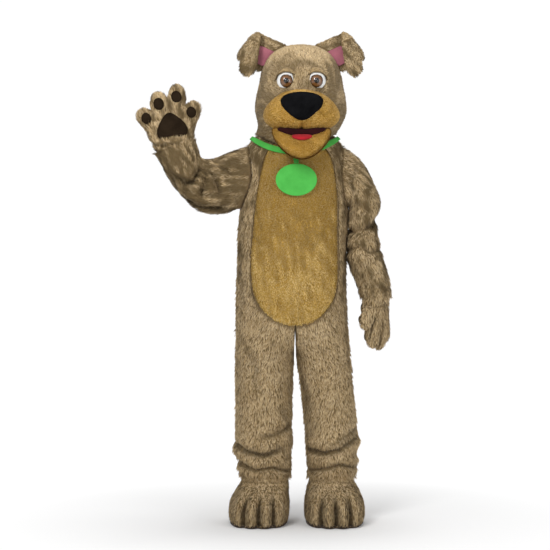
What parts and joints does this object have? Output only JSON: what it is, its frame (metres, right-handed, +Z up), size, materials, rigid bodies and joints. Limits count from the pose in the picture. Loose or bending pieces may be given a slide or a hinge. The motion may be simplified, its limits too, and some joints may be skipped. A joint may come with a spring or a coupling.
{
  "type": "dog mascot costume",
  "caption": "Plush dog mascot costume worn with one arm raised: hollow head, bodysuit with tan belly, paw gloves, toed feet, green collar and bare tag.",
  "frame": {"origin": "middle of the wearer's shoulders, inside the suit at the foot of the neck, where the suit is carried", "axes": "+Z up the standing figure, -Y the front, -X the wearer's right side"},
  "size_m": [1.0136, 0.494, 1.9577],
  "materials": {
    "coat_plush": "long plush pile",
    "belly_plush": "short plush pile",
    "muzzle_plush": "short plush pile",
    "mouth_felt": "felt",
    "tongue_felt": "felt",
    "nose_felt": "felt",
    "green_felt": "felt over foam",
    "sole_rubber": "matte",
    "eye_white": "gloss",
    "iris_brown": "gloss",
    "pupil_black": "gloss",
    "pink_plush": "short plush pile",
    "pad_felt": "felt"
  },
  "bodies": {
    "root": {"front_right": "coat_plush", "front_left": "coat_plush", "back_right": "coat_plush", "back_left": "coat_plush", "sleeve_right": "coat_plush", "sleeve_left": "coat_plush", "glove_right": "coat_plush", "glove_left": "coat_plush", "foot_right": "coat_plush", "foot_left": "coat_plush", "belly_panel": "belly_plush", "head_shell": "coat_plush", "muzzle": "muzzle_plush", "jaw": "muzzle_plush", "mouth_lining": "mouth_felt", "tongue": "tongue_felt", "nose": "nose_felt", "collar": "green_felt", "tag_tab": "green_felt", "tag": "green_felt", "sole_right": "sole_rubber", "sole_left": "sole_rubber", "eye_right": "eye_white", "eye_left": "eye_white", "iris_right": "iris_brown", "iris_left": "iris_brown", "pupil_right": "pupil_black", "pupil_left": "pupil_black", "eyelid_right": "coat_plush", "eyelid_left": "coat_plush", "ear_right": "coat_plush", "ear_left": "coat_plush", "ear_lining_right": "pink_plush", "ear_lining_left": "pink_plush", "palm_pad_right": "pad_felt", "palm_pad_left": "pad_felt", "digit_pad_right_1": "pad_felt", "digit_pad_right_2": "pad_felt", "digit_pad_right_3": "pad_felt", "digit_pad_right_4": "pad_felt", "digit_pad_left_1": "pad_felt", "digit_pad_left_2": "pad_felt", "digit_pad_left_3": "pad_felt", "digit_pad_left_4": "pad_felt"}
  },
  "joints": []
}
